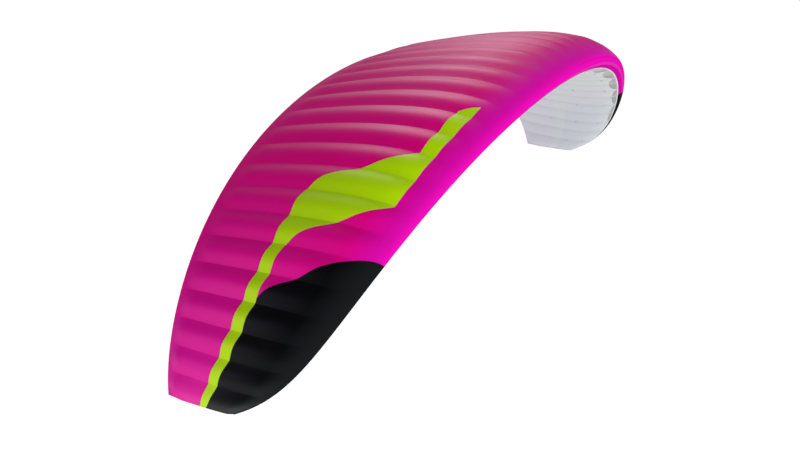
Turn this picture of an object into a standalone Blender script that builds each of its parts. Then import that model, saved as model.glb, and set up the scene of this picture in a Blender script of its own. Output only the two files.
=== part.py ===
"""Paraglider canopy, inflated: cloth sections, inner ribs, wing-tip panels and brake panels.

Metres, +X forward, +Y left, +Z up. The origin is the quarter-chord point of the middle cell. The
cloth follows an arch. A rib's place along the arch is u, from -1 at the right tip to 1 at the left
one, and a place around its profile is t: t * t is the chord fraction, and t is negative below.
"""

import math

import bpy

# Driving dimensions: the wing as it is laid out
HALF_SPAN = 5.45
CELLS = 35
CELL_TAPER = 0.0935
ROOT_CHORD = 2.935
ARCH_TIP_ANGLE = math.radians(72.4)
ARCH_ROUNDNESS = 0.624
TIP_TWIST = math.radians(3.3)

# How far the leading edge falls back and the trailing edge comes forward, by power of u
LEADING_SWEEP = {2: 1.061, 6: 0.338, 20: 0.346}
TRAILING_SWEEP = {2: 0.369, 6: -0.039}

# Profile
THICKNESS = 0.1745
TIP_THINNING = {4: 0.141, 30: 0.35}
CAMBER = 0.010
CAMBER_AT = 0.30
TRAILING_EDGE = 0.008

# Cloth: thickness, the gap between neighbours, and the bulge between two ribs as a share of a cell's
# width, with the chord fractions between which it grows behind the nose and fades at the tail
SKIN = 0.0025
RIB = 0.0025
SEAM_GAP = 0.0004
UPPER_BULGE = 0.090
LOWER_BULGE = 0.055
BULGE_SHAPE = 0.6
BULGE_GROWS = (0.01, 0.16)
BULGE_FADES = (0.86, 1.0)

# Brakes: ribs at the ends of the moving panel, the chord fraction of its hinge, and the slot along it.
# The lower cloth comes up to the hinge in the columns that lie this near an end rib, in cell widths.
BRAKE_FIRST_RIB = 4
BRAKE_LAST_RIB = 11
HINGE_AT = 0.80
HINGE_SLOT = 0.005
HINGE_SEAM = 0.16
BRAKE_ROWS = [0.80, 0.89, 0.985, 1.0]

# Rows around the profile, as values of t: leading-edge panels, upper cloth, intake panels, lower cloth. The
# rows at the lip and round an intake are moved from rib to rib, as below.
FIXED_END = math.sqrt(HINGE_AT - HINGE_SLOT)
LEADING_ROWS = [-0.19, -0.10, 0.0, 0.09, 0.18]
UPPER_ROWS = [0.18, 0.30, 0.45, 0.60, 0.75, FIXED_END, 1.0]
INTAKE_ROWS = [-0.19, -0.21, -0.30, -0.45]
LOWER_ROWS = [-0.45, -0.62, -0.75, -FIXED_END, -1.0]
CELL_COLUMNS = [0.15, 0.85]

# The lip under the nose: its chord fraction in the middle, less the taper times u to the fourth power
LIP_AT = 0.036
LIP_TAPER = 0.030

# Air intakes: each lies between two of these ribs, counted from a tip, and the middle one between the last
# two. As chord fractions: the band in front of one, and how far back its middle reaches, less the taper
# times u squared. A roundness of 1 would bring its corners back to its front edge.
INTAKE_END_RIBS = [3, 5, 7, 9, 11, 13, 15, 17]
MOUTH_ROW = 1
INTAKE_BAND = 0.0065
INTAKE_REACH = 0.118
INTAKE_TAPER = 0.097
INTAKE_ROUNDNESS = 0.93

# Inner ribs: where each row starts below and ends above, in t, and the strap from rib to rib
RIB_BELOW = [-0.13, -0.29, -0.45, -0.53, -0.57, -0.75, -0.985]
RIB_ABOVE = [0.0, 0.18, 0.45, 0.53, 0.57, 0.75, 0.985]
SHORT_RIB_END = math.sqrt(HINGE_AT - 3 * HINGE_SLOT)
STRAP_ROW = 3
STRAP_LEVEL = 0.55
STRAP = 0.004

# Line loops: chord fraction of each row, the ribs that carry them, counted from a tip, and their size
FRONT_LOOPS = {"a": 0.115}
REAR_LOOPS = {"b": 0.335, "c": 0.600}
LOOP_RIBS = [1] + INTAKE_END_RIBS
LOOP_LENGTH = 0.014
LOOP_WIDTH = 0.004
LOOP_DROP = 0.022
LOOP_ROOT = 0.0012
LOOP_BESIDE_SEAM = 0.003
BRAKE_LOOP_RIBS = [5, 7, 8, 10]
BRAKE_LOOP_AT = 0.990

# Wing-tip panels: rows in t, and the least t at their rounded nose
TIP_ROWS = [0.0, 0.09, 0.18, 0.30, 0.45, 0.60, 0.75, 0.8944, 1.0]
TIP_NOSE = 0.02

# Cloth sections: name and the ribs between which each lies
SECTIONS = {
    "right_outer": (0, 5),
    "right_middle": (5, 10),
    "right_inner": (10, 15),
    "centre": (15, 20),
    "left_inner": (20, 25),
    "left_middle": (25, 30),
    "left_outer": (30, 35),
}
RIB_SETS = {
    "right_outer": (1, 4),
    "right_middle": (5, 9),
    "right_inner": (10, 14),
    "centre": (15, 20),
    "left_inner": (21, 25),
    "left_middle": (26, 30),
    "left_outer": (31, 34),
}

# Fineness: steps of the arch, the step in t that gives the profile's slope, and the angle of a sharp edge
ARCH_STEPS = 400
SLOPE_STEP = 0.004
SHARP_EDGE = math.radians(35)


def clear_scene():
    for obj in list(bpy.data.objects):
        bpy.data.objects.remove(obj, do_unlink=True)


def cloth(name, color, roughness):
    material = bpy.data.materials.new(name)
    material.use_nodes = True
    shader = material.node_tree.nodes["Principled BSDF"]
    shader.inputs["Base Color"].default_value = (*color, 1.0)
    shader.inputs["Roughness"].default_value = roughness
    shader.inputs["Metallic"].default_value = 0.0
    return material


def power_sum(terms, u):
    return sum(size * abs(u) ** power for power, size in terms.items())


def arch_angle(u):
    return ARCH_TIP_ANGLE * (ARCH_ROUNDNESS * u + (1 - ARCH_ROUNDNESS) * u**3)


def arch_table():
    """Where the arch lies at each step from the middle to a tip, as (across, down)."""
    step = 1 / ARCH_STEPS
    table = [(0.0, 0.0)]
    for i in range(ARCH_STEPS):
        angle = arch_angle((i + 0.5) * step)
        across, down = table[-1]
        across += HALF_SPAN * step * math.cos(angle)
        down += HALF_SPAN * step * math.sin(angle)
        table.append((across, down))
    return table


ARCH = arch_table()


def arch_point(u):
    place = min(abs(u), 1.0) * ARCH_STEPS
    i = min(int(place), ARCH_STEPS - 1)
    part = place - i
    across = ARCH[i][0] * (1 - part) + ARCH[i + 1][0] * part
    down = ARCH[i][1] * (1 - part) + ARCH[i + 1][1] * part
    return math.copysign(across, u), -down


def rib_u(rib):
    """Place along the arch of a rib, counted from the right tip. A fraction lies inside a cell."""
    q = 2 * rib / CELLS - 1
    return q * (1 + CELL_TAPER * (1 - q * q))


def nose_x(u):
    return 0.25 * ROOT_CHORD - power_sum(LEADING_SWEEP, u)


def chord_at(u):
    tail = 0.25 * ROOT_CHORD - ROOT_CHORD + power_sum(TRAILING_SWEEP, u)
    return nose_x(u) - tail


def profile_height(t, thickness):
    """Height over the chord line, as a share of the chord."""
    r = abs(t)
    x = r * r
    half = 5 * thickness * (0.2969 * r - 0.1260 * x - 0.3516 * x**2 + 0.2843 * x**3 - 0.1036 * x**4)
    if x < CAMBER_AT:
        mean = CAMBER / CAMBER_AT**2 * (2 * CAMBER_AT * x - x * x)
    else:
        mean = CAMBER / (1 - CAMBER_AT) ** 2 * (1 - 2 * CAMBER_AT + 2 * CAMBER_AT * x - x * x)
    return mean + math.copysign(half, t)


def smooth(low, high, value):
    s = min(max((value - low) / (high - low), 0.0), 1.0)
    return s * s * (3 - 2 * s)


def bulge(rib, t):
    """How far the cloth swells out between two ribs: a round top with steep sides."""
    part = rib - math.floor(rib)
    x = t * t
    width = HALF_SPAN * 2 / CELLS
    share = UPPER_BULGE if t > 0 else LOWER_BULGE
    across = (4 * part * (1 - part)) ** BULGE_SHAPE
    return across * share * width * smooth(*BULGE_GROWS, x) * (1 - smooth(*BULGE_FADES, x))


def place(rib, aft, height):
    """Point at this distance behind the nose and over the chord line, in the plane of a rib."""
    u = rib_u(rib)
    twist = TIP_TWIST * u * u
    x = nose_x(u) - aft * math.cos(twist) + height * math.sin(twist)
    lift = height * math.cos(twist) + aft * math.sin(twist)
    y, z = arch_point(u)
    angle = math.copysign(arch_angle(abs(u)), u)
    return (x, y + lift * math.sin(angle), z + lift * math.cos(angle))


def outline(rib, t, inset=0.0):
    """(aft, height) of the profile's outer line, moved inwards by inset and outwards by the bulge."""
    u = rib_u(rib)
    chord = chord_at(u)
    thickness = THICKNESS * (1 - power_sum(TIP_THINNING, u))
    low, high = t - SLOPE_STEP, t + SLOPE_STEP
    along = (high * high - low * low) * chord
    rise = (profile_height(high, thickness) - profile_height(low, thickness)) * chord
    long = math.hypot(along, rise)
    out = bulge(rib, t) - inset
    edge = math.copysign(0.5 * TRAILING_EDGE * t * t, t)
    aft = t * t * chord - rise / long * out
    height = profile_height(t, thickness) * chord + edge + along / long * out
    return aft, height


def skin_point(rib, t, inset=0.0):
    return place(rib, *outline(rib, t, inset))


def on_cloth(rib, t, inset=0.0, rows=None):
    """(aft, height) on the straight run between two rows of the cloth, moved inwards by inset."""
    if rows is None:
        pair = (LEADING_ROWS, UPPER_ROWS) if t >= row_at(rib, LEADING_ROWS, 0) else (INTAKE_ROWS, LOWER_ROWS)
        rows = [row_at(rib, part, j) for part in pair for j in range(len(part))]
    before = max((row for row in rows if abs(row) <= abs(t) and row * t >= 0), key=abs)
    after = min((row for row in rows if abs(row) >= abs(t) and row * t >= 0), key=abs)
    first = outline(rib, before, inset)
    last = outline(rib, after, inset)
    part = (t * t - before * before) / (after * after - before * before) if after != before else 0.0
    return tuple(a + (b - a) * part for a, b in zip(first, last))


def lattice_solid(name, points, filled, material, origin=(0.0, 0.0, 0.0)):
    """A closed solid of the filled blocks of a lattice: points[(i, j, k)] and filled as a set."""
    corners = {
        (-1, 0, 0): [(0, 0, 0), (0, 0, 1), (0, 1, 1), (0, 1, 0)],
        (1, 0, 0): [(1, 0, 0), (1, 1, 0), (1, 1, 1), (1, 0, 1)],
        (0, -1, 0): [(0, 0, 0), (1, 0, 0), (1, 0, 1), (0, 0, 1)],
        (0, 1, 0): [(0, 1, 0), (0, 1, 1), (1, 1, 1), (1, 1, 0)],
        (0, 0, -1): [(0, 0, 0), (0, 1, 0), (1, 1, 0), (1, 0, 0)],
        (0, 0, 1): [(0, 0, 1), (1, 0, 1), (1, 1, 1), (0, 1, 1)],
    }
    number = {}
    verts = []
    faces = []
    for i, j, k in sorted(filled):
        for (di, dj, dk), quad in corners.items():
            if (i + di, j + dj, k + dk) in filled:
                continue
            face = []
            for a, b, c in quad:
                key = (i + a, j + b, k + c)
                if key not in number:
                    number[key] = len(verts)
                    verts.append([p - o for p, o in zip(points[key], origin)])
                face.append(number[key])
            faces.append(face)
    return mesh_object(name, verts, faces, material, origin)


def mesh_object(name, verts, faces, material, origin=(0.0, 0.0, 0.0)):
    mesh = bpy.data.meshes.new(name)
    mesh.from_pydata(verts, [], faces)
    mesh.materials.append(material)
    obj = bpy.data.objects.new(name, mesh)
    obj.location = origin
    bpy.context.scene.collection.objects.link(obj)
    if signed_volume(mesh) < 0:
        mesh.flip_normals()
    mesh.shade_smooth()
    mesh.set_sharp_from_angle(angle=SHARP_EDGE)
    return obj


def signed_volume(mesh):
    mesh.calc_loop_triangles()
    total = 0.0
    for triangle in mesh.loop_triangles:
        a, b, c = (mesh.vertices[v].co for v in triangle.vertices)
        total += a.dot(b.cross(c))
    return total


def seam_ends(first, last):
    """The section's two end ribs, moved in by half a seam gap where another section follows."""
    part = 0.5 * SEAM_GAP * CELLS / (2 * HALF_SPAN)
    return first + (part if first > 0 else 0), last - (part if last < CELLS else 0)


def columns_of(first, last):
    """Columns over whole cells."""
    low, high = seam_ends(first, last)
    columns = [low]
    for cell in range(first, last):
        columns += [cell + part for part in CELL_COLUMNS]
        columns.append(cell + 1)
    columns[-1] = high
    return columns


def in_brake(column_low, column_high):
    middle = 0.5 * (column_low + column_high)
    from_tip = min(middle, CELLS - middle)
    return BRAKE_FIRST_RIB < from_tip < BRAKE_LAST_RIB


def at_hinge_seam(rib):
    """Whether a column of the lower cloth is one of those that carry an end of a brake's hinge."""
    from_tip = min(rib, CELLS - rib)
    return min(abs(from_tip - BRAKE_FIRST_RIB), abs(from_tip - BRAKE_LAST_RIB)) < HINGE_SEAM


def intake_part(rib):
    """How far a rib lies from the middle of its intake, as a share of the way to the intake's ends."""
    ends = INTAKE_END_RIBS + [CELLS - end for end in reversed(INTAKE_END_RIBS)]
    for first, last in zip(ends, ends[1:]):
        if first <= rib <= last:
            return abs(2 * (rib - first) / (last - first) - 1)
    return 1.0


def intake_rows(rib):
    """t of the lip, and of an intake's front and rear edge: a flat oval behind its front edge."""
    u = rib_u(rib)
    lip = LIP_AT - LIP_TAPER * u**4
    front = lip + INTAKE_BAND
    reach = INTAKE_REACH - INTAKE_TAPER * u**2
    share = math.sqrt(1 - (INTAKE_ROUNDNESS * intake_part(rib)) ** 2)
    return [-math.sqrt(x) for x in (lip, front, front + (reach - front) * share)]


def in_intake(column_low, column_high):
    """Whether a column is open: inside an intake and not one of the two beside its end ribs."""
    middle = 0.5 * (column_low + column_high)
    ends = INTAKE_END_RIBS + [CELLS - end for end in INTAKE_END_RIBS]
    inside = INTAKE_END_RIBS[0] < min(middle, CELLS - middle)
    return inside and min(abs(middle - end) for end in ends) > CELL_COLUMNS[0]


def row_at(rib, rows, j):
    """A row's t at one rib: the cloth behind a cross seam starts a seam gap after it."""
    t = rows[j]
    gap = SEAM_GAP / chord_at(rib_u(rib))
    if rows is LEADING_ROWS and j <= 1:
        return intake_rows(rib)[0] * t / rows[0]
    if rows is INTAKE_ROWS and j <= MOUTH_ROW + 1:
        return -math.sqrt(intake_rows(rib)[j] ** 2 + (gap if j == 0 else 0.0))
    if j == 0 and rows in (UPPER_ROWS, LOWER_ROWS):
        return math.copysign(math.sqrt(t * t + gap), t)
    if t == -FIXED_END and at_hinge_seam(rib):
        return -math.sqrt(HINGE_AT - gap)
    return t


def skin_section(name, ribs, rows, material):
    """One cloth section: a curved plate, with the brake's cut-out or the air intakes where it has them."""
    columns = columns_of(*ribs)
    points = {}
    for i, rib in enumerate(columns):
        for j in range(len(rows)):
            t = row_at(rib, rows, j)
            points[i, j, 0] = skin_point(rib, t, SKIN)
            points[i, j, 1] = skin_point(rib, t)
    filled = set()
    for i in range(len(columns) - 1):
        for j in range(len(rows) - 1):
            if abs(rows[j + 1]) == 1.0 and in_brake(columns[i], columns[i + 1]):
                continue
            if rows is INTAKE_ROWS and j == MOUTH_ROW and in_intake(columns[i], columns[i + 1]):
                continue
            filled.add((i, j, 0))
    return lattice_solid(name, points, filled, material)


def rib_set(name, ribs, material):
    """Inner ribs as flat plates, joined by a tension strap from rib to rib."""
    first, last = ribs
    half = 0.5 * RIB * CELLS / (2 * HALF_SPAN)
    columns = []
    for rib in range(first, last + 1):
        columns += [(rib, -half), (rib, half)]
    points = {}
    for i, (rib, shift) in enumerate(columns):
        for j, (below, above) in enumerate(zip(RIB_BELOW, RIB_ABOVE)):
            if in_brake(rib, rib):
                below, above = max(below, -SHORT_RIB_END), min(above, SHORT_RIB_END)
            low = on_cloth(rib, below, SKIN + SEAM_GAP)
            high = on_cloth(rib, above, SKIN + SEAM_GAP)
            column = [low]
            for step in (-0.5, 0.5):
                share = STRAP_LEVEL + step * STRAP / max(high[1] - low[1], 2 * STRAP)
                column.append(tuple(a + (b - a) * share for a, b in zip(low, high)))
            column.append(high)
            for k, (aft, height) in enumerate(column):
                points[i, j, k] = place(rib + shift, aft, height)
    filled = set()
    for i in range(len(columns) - 1):
        for j in range(len(RIB_BELOW) - 1):
            for k in range(3):
                if i % 2 == 0 or (j == STRAP_ROW and k == 1):
                    filled.add((i, j, k))
    return lattice_solid(name, points, filled, material)


def brake_columns(sign):
    """Columns of a brake panel, from the first past its end rib to the last, with thin end ribs."""
    thin = RIB * CELLS / (2 * HALF_SPAN)
    columns = []
    for cell in range(BRAKE_FIRST_RIB, BRAKE_LAST_RIB):
        columns += [cell + part for part in CELL_COLUMNS]
        columns.append(cell + 1)
    columns.pop()
    columns.insert(1, columns[0] + thin)
    columns.insert(-1, columns[-1] - thin)
    if sign > 0:
        columns = [CELLS - rib for rib in reversed(columns)]
    return columns


def hinge_ends(sign):
    """The brake hinge's two ends, on the lower cloth at the panel's ends, from right to left."""
    columns = brake_columns(sign)
    return [skin_point(rib, -math.sqrt(HINGE_AT)) for rib in (columns[0], columns[-1])]


def brake_panel(name, sign, material):
    """The moving trailing edge: upper and lower cloth closed at the trailing edge and at both ends."""
    columns = brake_columns(sign)
    points = {}
    for i, rib in enumerate(columns):
        for j, x in enumerate(BRAKE_ROWS):
            t = math.sqrt(x)
            points[i, j, 0] = skin_point(rib, -t)
            points[i, j, 1] = skin_point(rib, -t, SKIN)
            points[i, j, 2] = skin_point(rib, t, SKIN)
            points[i, j, 3] = skin_point(rib, t)
    last_row = len(BRAKE_ROWS) - 2
    last_column = len(columns) - 2
    filled = set()
    for i in range(len(columns) - 1):
        for j in range(len(BRAKE_ROWS) - 1):
            for k in range(3):
                if k != 1 or j == last_row or i in (0, last_column):
                    filled.add((i, j, k))
    right, left = hinge_ends(sign)
    middle = [0.5 * (a + b) for a, b in zip(right, left)]
    return lattice_solid(name, points, filled, material, middle)


def tip_panel(name, rib, sign, material):
    """The flat end panel of a wing tip, just outside the last cell's cloth."""
    points = {}
    for i in range(2):
        across = sign * (SEAM_GAP + i * SKIN)
        for j, t in enumerate(TIP_ROWS):
            u = rib_u(rib)
            angle = math.copysign(arch_angle(abs(u)), u)
            low = outline(rib, -max(t, TIP_NOSE))
            high = outline(rib, max(t, TIP_NOSE))
            for k, (aft, height) in enumerate([low, high]):
                x, y, z = place(rib, aft, height)
                points[i, j, k] = (x, y + across * math.cos(angle), z - across * math.sin(angle))
    filled = {(0, j, 0) for j in range(len(TIP_ROWS) - 1)}
    return lattice_solid(name, points, filled, material)


def loop_block(rib, x, rows=None, beside=0.0):
    """Corners of one line loop: a small upright tab under the rib's seam, or this far beside it."""
    u = rib_u(rib)
    angle = math.copysign(arch_angle(abs(u)), u)
    t = -math.sqrt(x)
    aft, height = on_cloth(rib, t, rows=rows)
    near, far = (on_cloth(rib, t + step, rows=rows) for step in (SLOPE_STEP, -SLOPE_STEP))
    slope = (far[1] - near[1]) / (far[0] - near[0])
    corners = {}
    for i, across in enumerate((beside - 0.5 * LOOP_WIDTH, beside + 0.5 * LOOP_WIDTH)):
        for j, along in enumerate((-0.5 * LOOP_LENGTH, 0.5 * LOOP_LENGTH)):
            for k, up in enumerate((-LOOP_DROP, LOOP_ROOT + slope * along)):
                px, py, pz = place(rib, aft + along, height + up)
                corners[i, j, k] = (px, py + across * math.cos(angle), pz - across * math.sin(angle))
    return corners


def loop_group(name, loops, material):
    """All loops of one section in one helper mesh, which a union then joins to the section."""
    verts = []
    faces = []
    order = [(0, 0, 0), (1, 0, 0), (1, 1, 0), (0, 1, 0), (0, 0, 1), (1, 0, 1), (1, 1, 1), (0, 1, 1)]
    quads = [(0, 3, 2, 1), (4, 5, 6, 7), (0, 1, 5, 4), (1, 2, 6, 5), (2, 3, 7, 6), (3, 0, 4, 7)]
    for corners in loops:
        base = len(verts)
        verts += [corners[key] for key in order]
        faces += [[base + v for v in quad] for quad in quads]
    obj = mesh_object(name, verts, faces, material)
    obj.hide_render = True
    obj.display_type = "WIRE"
    return obj


def join_loops(obj, loops, material):
    if not loops:
        return
    helper = loop_group(obj.name + "_loops", loops, material)
    union = obj.modifiers.new("line_loops", "BOOLEAN")
    union.operation = "UNION"
    union.solver = "EXACT"
    union.object = helper


def carried_loops(first, last, chord_fractions):
    """Loops on a section's ribs. One on a seam between two sections sits beside it, on the left one."""
    both = sorted(LOOP_RIBS + [CELLS - rib for rib in LOOP_RIBS])
    loops = []
    for rib in both:
        if first <= rib < last:
            beside = LOOP_BESIDE_SEAM if rib == first else 0.0
            loops += [loop_block(rib, x, beside=beside) for x in chord_fractions]
    return loops


def main():
    clear_scene()
    magenta = cloth("magenta_cloth", (0.73, 0.005, 0.40), 0.55)
    white = cloth("white_cloth", (0.56, 0.58, 0.60), 0.6)
    rib_white = cloth("rib_cloth", (0.60, 0.60, 0.60), 0.6)
    black = cloth("black_cloth", (0.010, 0.010, 0.012), 0.6)
    for side, ribs in SECTIONS.items():
        skin_section("leading_edge_" + side, ribs, LEADING_ROWS, magenta)
        skin_section("upper_" + side, ribs, UPPER_ROWS, magenta)
        for name, rows, loop_rows in (
            ("intake_panel_", INTAKE_ROWS, FRONT_LOOPS),
            ("lower_", LOWER_ROWS, REAR_LOOPS),
        ):
            panel = skin_section(name + side, ribs, rows, white)
            join_loops(panel, carried_loops(*ribs, loop_rows.values()), white)
        rib_set("ribs_" + side, RIB_SETS[side], rib_white)
    for side, sign, rib in (("right", -1, 0), ("left", 1, CELLS)):
        tip_panel("tip_panel_" + side, rib, sign, black)
        brake = brake_panel("brake_" + side, sign, magenta)
        counted = [CELLS - rib for rib in BRAKE_LOOP_RIBS] if sign > 0 else BRAKE_LOOP_RIBS
        brake_rows = [-math.sqrt(x) for x in BRAKE_ROWS]
        join_loops(brake, [loop_block(rib, BRAKE_LOOP_AT, brake_rows) for rib in counted], magenta)


main()
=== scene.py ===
"""Looks of an inflated paraglider canopy: sewn cloth, inner ribs, intake hems, tapes and line loops.

Metres, +X forward, +Y left, +Z up. A rib's number runs from 0 at the right tip to 35 at the left tip, and
a fraction lies inside a cell. Along the arch, u runs from -1 at the right tip to 1 at the left tip. A row
is the signed root of the chord fraction: below zero is underneath.
"""

import math
from contextlib import contextmanager

import bpy
import numpy as np
from mathutils import Matrix, Vector


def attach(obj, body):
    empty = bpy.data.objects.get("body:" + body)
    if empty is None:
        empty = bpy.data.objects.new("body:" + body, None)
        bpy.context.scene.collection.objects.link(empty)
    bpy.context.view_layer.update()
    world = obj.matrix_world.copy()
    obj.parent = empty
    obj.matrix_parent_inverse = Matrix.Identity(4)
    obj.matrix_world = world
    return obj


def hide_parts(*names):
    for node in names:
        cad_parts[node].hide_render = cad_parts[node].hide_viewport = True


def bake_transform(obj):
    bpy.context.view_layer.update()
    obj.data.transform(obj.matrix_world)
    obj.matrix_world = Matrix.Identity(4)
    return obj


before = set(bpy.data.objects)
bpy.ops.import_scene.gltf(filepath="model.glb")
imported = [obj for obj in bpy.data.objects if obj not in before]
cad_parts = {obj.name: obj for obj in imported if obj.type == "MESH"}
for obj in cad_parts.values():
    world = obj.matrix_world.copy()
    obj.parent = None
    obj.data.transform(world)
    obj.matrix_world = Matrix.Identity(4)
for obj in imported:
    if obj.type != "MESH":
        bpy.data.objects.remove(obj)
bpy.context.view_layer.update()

# The wing as it is laid out. Sweeps and thinning are sums of powers of u, given as power: size. The origin
# lies at ORIGIN_AT of the middle chord.
HALF_SPAN = 5.45
CELLS = 35
CELL_TAPER = 0.0935
ROOT_CHORD = 2.935
ORIGIN_AT = 0.25
ARCH_TIP_ANGLE = math.radians(72.4)
ARCH_ROUNDNESS = 0.624
ARCH_STEPS = 400
TIP_TWIST = math.radians(3.3)
LEADING_SWEEP = {2: 1.061, 6: 0.338, 20: 0.346}
TRAILING_SWEEP = {2: 0.369, 6: -0.039}

# The profile. Half its thickness is a sum of terms in the root and in the powers of the chord fraction,
# with sizes for a profile that is a fifth as thick as it is long. The trailing edge is in metres, and the
# step for slopes is in rows.
THICKNESS = 0.1745
TIP_THINNING = {4: 0.141, 30: 0.35}
ROOT_TERM = 0.2969
POWER_TERMS = {1: -0.1260, 2: -0.3516, 3: 0.2843, 4: -0.1036}
CAMBER = 0.010
CAMBER_AT = 0.30
TRAILING_EDGE = 0.008
SLOPE_STEP = 0.004

# The cloth: its thickness, and how far it swells between two ribs, as a share of a cell's width. The swell
# grows and fades between these chord fractions.
CLOTH = 0.0012
UPPER_BULGE = 0.115
LOWER_BULGE = 0.065
BULGE_AT_SEAM = 0.4
BULGE_GROWS = (0.01, 0.16)
BULGE_FADES = (0.86, 1.0)
SEAM_CREASE = math.radians(9)

# Rows and columns of points in the cloth
CELL_COLUMNS = 14
NOSE_END_ROW = 0.30
NOSE_ROWS = 50
UPPER_BACK_ROWS = 47
LOWER_BACK_ROWS = 43

# Ribs between which one piece of cloth lies. On the wing, the two brake stretches and the cells beside them
# bend with the brakes.
STRETCHES = {
    "right_tip": (0, 4),
    "right_outer_gusset": (4, 5),
    "right_brake": (5, 10),
    "right_inner_gusset": (10, 11),
    "middle": (11, 24),
    "left_inner_gusset": (24, 25),
    "left_brake": (25, 30),
    "left_outer_gusset": (30, 31),
    "left_tip": (31, 35),
}

# The solids' sections: the ribs between which each lies, and the first and last inner rib that it holds
SECTIONS = {
    "right_outer": (0, 5),
    "right_middle": (5, 10),
    "right_inner": (10, 15),
    "centre": (15, 20),
    "left_inner": (20, 25),
    "left_middle": (25, 30),
    "left_outer": (30, 35),
}
RIB_FIRST = 1
RIB_LAST = 34
RIB_SETS = {
    "right_outer": (1, 4),
    "right_middle": (5, 9),
    "right_inner": (10, 14),
    "centre": (15, 20),
    "left_inner": (21, 25),
    "left_middle": (26, 30),
    "left_outer": (31, 34),
}

# Where the trailing edge starts and ends its bend, along X, the row at whose height it bends, and how fast
# the bend runs out over a gusset
BEND_START = -1.36
BEND_END = -1.80
BEND_ROW = -0.8
OUTER_GUSSET_FALL = 5.2
INNER_GUSSET_FALL = 6.0

# The lip under the nose, where the upper cloth ends: its chord fraction in the middle, less the taper times
# u to the fourth power
LIP_AT = 0.036
LIP_TAPER = 0.030
LIP_ROW = -0.190

# Air intakes. Each lies between two neighbours of these ribs, counted from the nearer tip, and the middle
# one between the last rib of either half. Chord fractions are the band in front of one, its middle, and the
# reach of its rear, less the taper times u squared. Its width is a share of the ribs' distance.
INTAKE_END_RIBS = [3, 5, 7, 9, 11, 13, 15, 17]
INTAKE_BAND = 0.0065
INTAKE_REACH = 0.118
INTAKE_TAPER = 0.097
INTAKE_WIDTH = 0.955
INTAKE_MIDDLE = 0.07

# The rows of cloth that are drawn round an intake, the hole's share of them, and a margin for rounding
INTAKE_BLOCK = (-0.370, -0.196)
INTAKE_BLOCK_STEPS = 14
INTAKE_SHARE = 5 / 7
TINY = 1e-6

# The way round an intake: from 0 at its front right corner over its right side, its rear and its left side
# to WAY_FRONT, and along its straight front to WAY_ROUND
WAY_FRONT = 6.0
WAY_ROUND = 8.0
WAY_STEP = 0.02

# The rolled hem of an intake: its width, how flat it is, and the ring that it is bent from
HEM = 0.0045
HEM_FLATNESS = 0.7
HEM_FOLDS = 8
HEM_STEPS = 72
HEM_RING = 0.1

# Line loops: chord fraction of each row, and the ribs that carry them, counted from a tip
LOOP_ROWS = {"front": 0.115, "second": 0.335, "rear": 0.600}
LOOP_RIBS = [1] + INTAKE_END_RIBS
BRAKE_LOOP_RIBS = [5, 7, 8, 10]
BRAKE_LOOP_AT = 0.990

# One loop: the webbing's width and thickness, how far it hangs below the cloth and reaches into it, and the
# radius of its eye. Above the eye its width is a neck and a shoulder that narrows by a power, as shares of
# the eye.
LOOP_LENGTH = 0.014
WEBBING = 0.0009
LOOP_DROP = 0.022
LOOP_ROOT = 0.003
LOOP_EYE = 0.0024
LOOP_POINTS = 24
LOOP_NECK = 0.18
LOOP_SHOULDER = 0.9
LOOP_NARROWS = 0.8
LOOP_CREASE = math.radians(40)

# Inner ribs: how far they reach aft, and their cross-ports as (chord fraction, half length as a share of
# the chord, half height as a share of the rib's height there)
RIB_CLOTH = 0.0008
RIB_INSET = 0.0016
RIB_END = 0.985
RIB_POINTS = 120
PORT_POINTS = 28
PORTS = [
    (0.065, 0.020, 0.24),
    (0.165, 0.026, 0.27),
    (0.235, 0.026, 0.28),
    (0.405, 0.034, 0.28),
    (0.500, 0.034, 0.27),
    (0.690, 0.034, 0.24),
]

# The tape from rib to rib: its chord fraction, its level from the lower to the upper cloth, and its size
SPAN_TAPE_AT = 0.3025
SPAN_TAPE_LEVEL = 0.55
SPAN_TAPE_WIDTH = 0.025
SPAN_TAPE_CLOTH = 0.0010
SPAN_TAPE_COLUMNS = 4

# The binding of the trailing edge: the rows where it starts above and below, its thickness, and the numbers
# of its lines of points, after the first row
TAIL_TAPE_ROW = 0.9950
TAIL_TAPE_UNDER = 0.9985
TAIL_TAPE = 0.0007
TAIL_TAPE_COLUMNS = 6
TAIL_TAPE_CREASE = math.radians(60)
FOLD_TOP = 1.0
FOLD_END = 2.0
FOLD_BOTTOM = 3.0
FOLD_UNDER = 4.0

# Wing-tip panels: how far their middle swells, the chord fractions between which that grows and fades, the
# row where they start, and how far their edges lie inside the cloth
TIP_SWELL = 0.018
TIP_SWELL_GROWS = (0.0, 0.12)
TIP_SWELL_FADES = (0.75, 1.0)
TIP_FIRST_ROW = 0.02
TIP_INSET = 0.0003
TIP_ROWS = 60
TIP_COLUMNS = 12
TIP_CREASE = math.radians(40)

# The photograph's camera: its place, its angles in radians and its reach
CAMERA_PLACE = Vector((4.56985, -9.8577, 2.4681))
CAMERA_AZIMUTH = 0.5749
CAMERA_ELEVATION = 0.3875
CAMERA_ROLL = -0.0736
CAMERA_NEAR = 0.1
CAMERA_FAR = 2000.0
FOCAL_PIXELS = 902.2
PHOTO_WIDTH = 800
SENSOR = 36.0

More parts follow.
